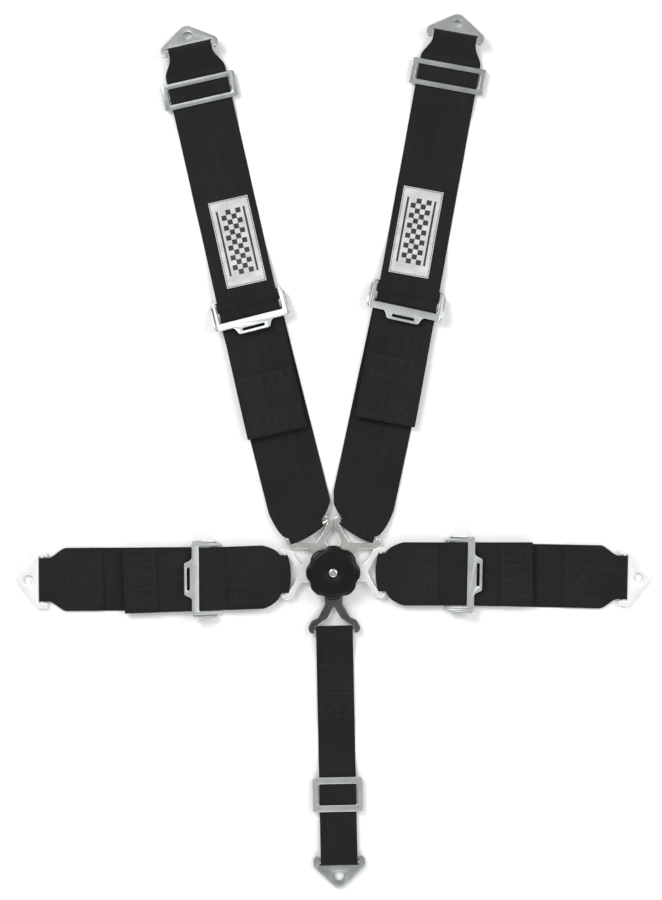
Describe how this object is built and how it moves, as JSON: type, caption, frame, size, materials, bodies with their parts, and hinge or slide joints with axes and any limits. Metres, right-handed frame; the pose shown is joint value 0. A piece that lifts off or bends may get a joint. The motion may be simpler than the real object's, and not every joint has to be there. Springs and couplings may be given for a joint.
{
  "type": "racing harness",
  "caption": "Harness of wide webbing straps with bolt-in steel brackets and tilt-lock adjusters, joined at a rotary cam-lock buckle.",
  "frame": {"origin": "centre of the buckle's flat back face", "axes": "+Z away from the wearer, out of the buckle's knob; +Y towards the shoulder anchors; -Y towards the crotch anchor; lap belts along -X and +X"},
  "size_m": [0.7714, 1.0645, 0.0268],
  "materials": {
    "webbing": "matte woven black nylon",
    "label": "satin woven patch, blank",
    "zinc_plate": "bright zinc plated steel",
    "tongue_steel": "nickel plated stamped steel",
    "lock_steel": "knurled zinc plated steel",
    "knob": "black anodised, satin gloss",
    "buckle_body": "dark grey painted",
    "spindle": "polished",
    "inner_steel": "plain machined"
  },
  "bodies": {
    "buckle": {"base_plate": "buckle_body", "buckle_housing": "buckle_body", "inner_cover": "inner_steel", "spindle": "spindle", "return_spring": "inner_steel", "housing_screws": "inner_steel", "fixed_tongue_pin": "inner_steel", "latch_spring_shoulder_left": "inner_steel", "latch_spring_shoulder_right": "inner_steel", "latch_spring_lap_right": "inner_steel", "latch_spring_crotch": "inner_steel", "lap_left_tongue": "tongue_steel"},
    "knob": {"knob": "knob", "release_cam": "inner_steel"},
    "latch_pin_shoulder_left": {"latch_pin_shoulder_left": "inner_steel"},
    "latch_pin_shoulder_right": {"latch_pin_shoulder_right": "inner_steel"},
    "latch_pin_lap_right": {"latch_pin_lap_right": "inner_steel"},
    "latch_pin_crotch": {"latch_pin_crotch": "inner_steel"},
    "shoulder_left_tongue": {"shoulder_left_tongue": "tongue_steel"},
    "shoulder_left_lower": {"shoulder_left_lower_webbing": "webbing"},
    "shoulder_left_adjuster": {"shoulder_left_adjuster": "zinc_plate"},
    "shoulder_left_lock_bar": {"shoulder_left_lock_bar": "lock_steel"},
    "shoulder_left_upper": {"shoulder_left_upper_webbing": "webbing", "shoulder_left_label": "label"},
    "shoulder_left_slide": {"shoulder_left_slide": "zinc_plate"},
    "shoulder_left_bracket": {"shoulder_left_bracket": "zinc_plate"},
    "shoulder_right_tongue": {"shoulder_right_tongue": "tongue_steel"},
    "shoulder_right_lower": {"shoulder_right_lower_webbing": "webbing"},
    "shoulder_right_adjuster": {"shoulder_right_adjuster": "zinc_plate"},
    "shoulder_right_lock_bar": {"shoulder_right_lock_bar": "lock_steel"},
    "shoulder_right_upper": {"shoulder_right_upper_webbing": "webbing", "shoulder_right_label": "label"},
    "shoulder_right_slide": {"shoulder_right_slide": "zinc_plate"},
    "shoulder_right_bracket": {"shoulder_right_bracket": "zinc_plate"},
    "lap_left_inner": {"lap_left_inner_webbing": "webbing"},
    "lap_left_outer": {"lap_left_outer_webbing": "webbing"},
    "lap_left_adjuster": {"lap_left_adjuster": "zinc_plate"},
    "lap_left_lock_bar": {"lap_left_lock_bar": "lock_steel"},
    "lap_left_bracket": {"lap_left_bracket": "zinc_plate"},
    "lap_right_tongue": {"lap_right_tongue": "tongue_steel"},
    "lap_right_inner": {"lap_right_inner_webbing": "webbing"},
    "lap_right_outer": {"lap_right_outer_webbing": "webbing"},
    "lap_right_adjuster": {"lap_right_adjuster": "zinc_plate"},
    "lap_right_lock_bar": {"lap_right_lock_bar": "lock_steel"},
    "lap_right_bracket": {"lap_right_bracket": "zinc_plate"},
    "crotch_tongue": {"crotch_tongue": "tongue_steel"},
    "crotch_strap": {"crotch_webbing": "webbing"},
    "crotch_slide": {"crotch_slide": "zinc_plate"},
    "crotch_bracket": {"crotch_bracket": "zinc_plate"}
  },
  "joints": [
    {"name": "knob_turn", "type": "hinge", "parent": "buckle", "child": "knob", "pos_m": [0, 0, 0.016], "axis": [0, 0, 1], "range_deg": [-33, 0]},
    {"name": "latch_pin_shoulder_left_lift", "type": "slide", "parent": "buckle", "child": "latch_pin_shoulder_left", "axis": [0, 0, 1], "range_m": [-0.00421, 0], "deforming": ["latch_spring_shoulder_left"]},
    {"name": "latch_pin_shoulder_right_lift", "type": "slide", "parent": "buckle", "child": "latch_pin_shoulder_right", "axis": [0, 0, 1], "range_m": [-0.00421, 0], "deforming": ["latch_spring_shoulder_right"]},
    {"name": "latch_pin_lap_right_lift", "type": "slide", "parent": "buckle", "child": "latch_pin_lap_right", "axis": [0, 0, 1], "range_m": [-0.00421, 0], "deforming": ["latch_spring_lap_right"]},
    {"name": "latch_pin_crotch_lift", "type": "slide", "parent": "buckle", "child": "latch_pin_crotch", "axis": [0, 0, 1], "range_m": [-0.00421, 0], "deforming": ["latch_spring_crotch"]},
    {"name": "shoulder_left_tongue_pull", "type": "slide", "parent": "buckle", "child": "shoulder_left_tongue", "axis": [-0.5, 0.866, 0], "range_m": [0, 0.03]},
    {"name": "shoulder_left_lower_swing", "type": "hinge", "parent": "shoulder_left_tongue", "child": "shoulder_left_lower", "pos_m": [-0.029, 0.05023, 0.0066], "axis": [0.866, 0.5, 0], "range_deg": [-20, 40]},
    {"name": "shoulder_left_upper_adjust", "type": "slide", "parent": "shoulder_left_lower", "child": "shoulder_left_upper", "axis": [-0.2215, 0.9751, 0], "range_m": [-0.012, 0.055]},
    {"name": "shoulder_left_adjuster_tilt", "type": "hinge", "parent": "shoulder_left_lower", "child": "shoulder_left_adjuster", "pos_m": [-0.10526, 0.33397, 0.0034], "axis": [-0.9694, -0.2453, 0], "range_deg": [0, 30]},
    {"name": "shoulder_left_lock_bar_float", "type": "slide", "parent": "shoulder_left_lower", "child": "shoulder_left_lock_bar", "axis": [-0.2453, 0.9694, 0], "range_m": [0, 0.00151]},
    {"name": "shoulder_left_slide_shift", "type": "slide", "parent": "shoulder_left_upper", "child": "shoulder_left_slide", "axis": [-0.2215, 0.9751, 0], "range_m": [-0.008, 0.008]},
    {"name": "shoulder_left_bracket_swing", "type": "hinge", "parent": "shoulder_left_upper", "child": "shoulder_left_bracket", "pos_m": [-0.17439, 0.63821, 0.0157], "axis": [0.9751, 0.2215, 0], "range_deg": [-30, 60]},
    {"name": "shoulder_right_tongue_pull", "type": "slide", "parent": "buckle", "child": "shoulder_right_tongue", "axis": [0.5, 0.866, 0], "range_m": [0, 0.03]},
    {"name": "shoulder_right_lower_swing", "type": "hinge", "parent": "shoulder_right_tongue", "child": "shoulder_right_lower", "pos_m": [0.029, 0.05023, 0.0066], "axis": [0.866, -0.5, 0], "range_deg": [-20, 40]},
    {"name": "shoulder_right_upper_adjust", "type": "slide", "parent": "shoulder_right_lower", "child": "shoulder_right_upper", "axis": [0.1788, 0.9839, 0], "range_m": [-0.012, 0.046]},
    {"name": "shoulder_right_adjuster_tilt", "type": "hinge", "parent": "shoulder_right_lower", "child": "shoulder_right_adjuster", "pos_m": [0.09256, 0.34537, 0.0034], "axis": [-0.9778, 0.2096, 0], "range_deg": [0, 30]},
    {"name": "shoulder_right_lock_bar_float", "type": "slide", "parent": "shoulder_right_lower", "child": "shoulder_right_lock_bar", "axis": [0.2096, 0.9778, 0], "range_m": [0, 0.00151]},
    {"name": "shoulder_right_slide_shift", "type": "slide", "parent": "shoulder_right_upper", "child": "shoulder_right_slide", "axis": [0.1788, 0.9839, 0], "range_m": [-0.008, 0.008]},
    {"name": "shoulder_right_bracket_swing", "type": "hinge", "parent": "shoulder_right_upper", "child": "shoulder_right_bracket", "pos_m": [0.14835, 0.65234, 0.0157], "axis": [0.9839, -0.1788, 0], "range_deg": [-30, 60]},
    {"name": "lap_left_inner_swing", "type": "hinge", "parent": "buckle", "child": "lap_left_inner", "pos_m": [-0.05796, -0.00202, 0.0066], "axis": [-0.0349, 0.9994, 0], "range_deg": [-60, 60]},
    {"name": "lap_left_outer_adjust", "type": "slide", "parent": "lap_left_inner", "child": "lap_left_outer", "axis": [-0.9994, -0.0349, 0], "range_m": [-0.01, 0.015]},
    {"name": "lap_left_adjuster_tilt", "type": "hinge", "parent": "lap_left_outer", "child": "lap_left_adjuster", "pos_m": [-0.13982, -0.00758, 0.0034], "axis": [-0.007, 1, 0], "range_deg": [0, 30]},
    {"name": "lap_left_lock_bar_float", "type": "slide", "parent": "lap_left_outer", "child": "lap_left_lock_bar", "axis": [1, 0.007, 0], "range_m": [0, 0.00151]},
    {"name": "lap_left_bracket_swing", "type": "hinge", "parent": "lap_left_outer", "child": "lap_left_bracket", "pos_m": [-0.35482, -0.00909, 0.0035], "axis": [-0.007, 1, 0], "range_deg": [-45, 60]},
    {"name": "lap_right_tongue_pull", "type": "slide", "parent": "buckle", "child": "lap_right_tongue", "axis": [1, 0, 0], "range_m": [0, 0.03]},
    {"name": "lap_right_inner_swing", "type": "hinge", "parent": "lap_right_tongue", "child": "lap_right_inner", "pos_m": [0.058, 0, 0.0066], "axis": [0, -1, 0], "range_deg": [-60, 60]},
    {"name": "lap_right_outer_adjust", "type": "slide", "parent": "lap_right_inner", "child": "lap_right_outer", "axis": [1, 0, 0], "range_m": [-0.01, 0.015]},
    {"name": "lap_right_adjuster_tilt", "type": "hinge", "parent": "lap_right_outer", "child": "lap_right_adjuster", "pos_m": [0.14, -0.0018, 0.0034], "axis": [-0.0209, -0.9998, 0], "range_deg": [0, 30]},
    {"name": "lap_right_lock_bar_float", "type": "slide", "parent": "lap_right_outer", "child": "lap_right_lock_bar", "axis": [-0.9998, 0.0209, 0], "range_m": [0, 0.00151]},
    {"name": "lap_right_bracket_swing", "type": "hinge", "parent": "lap_right_outer", "child": "lap_right_bracket", "pos_m": [0.35495, -0.0063, 0.0035], "axis": [-0.0209, -0.9998, 0], "range_deg": [-45, 60]},
    {"name": "crotch_tongue_pull", "type": "slide", "parent": "buckle", "child": "crotch_tongue", "axis": [0.0209, -0.9998, 0], "range_m": [0, 0.03]},
    {"name": "crotch_strap_swing", "type": "hinge", "parent": "crotch_tongue", "child": "crotch_strap", "pos_m": [0.00142, -0.06799, 0.0066], "axis": [-0.9998, -0.0209, 0], "range_deg": [-60, 60]},
    {"name": "crotch_slide_shift", "type": "slide", "parent": "crotch_strap", "child": "crotch_slide", "axis": [0.0209, -0.9998, 0], "range_m": [-0.008, 0.008]},
    {"name": "crotch_bracket_swing", "type": "hinge", "parent": "crotch_strap", "child": "crotch_bracket", "pos_m": [0.00739, -0.35292, 0.0035], "axis": [-0.9998, -0.0209, 0], "range_deg": [-45, 60]}
  ],
  "couplings": [
    {"joint": "latch_pin_shoulder_left_lift", "follows": "knob_turn", "m_per_rad": 0.0072922},
    {"joint": "latch_pin_shoulder_right_lift", "follows": "knob_turn", "m_per_rad": 0.0072922},
    {"joint": "latch_pin_lap_right_lift", "follows": "knob_turn", "m_per_rad": 0.0072922},
    {"joint": "latch_pin_crotch_lift", "follows": "knob_turn", "m_per_rad": 0.0072922},
    {"joint": "shoulder_left_lock_bar_float", "follows": "shoulder_left_adjuster_tilt", "m_per_rad": 0.0028648},
    {"joint": "shoulder_right_lock_bar_float", "follows": "shoulder_right_adjuster_tilt", "m_per_rad": 0.0028648},
    {"joint": "lap_left_lock_bar_float", "follows": "lap_left_adjuster_tilt", "m_per_rad": 0.0028648},
    {"joint": "lap_right_lock_bar_float", "follows": "lap_right_adjuster_tilt", "m_per_rad": 0.0028648}
  ]
}
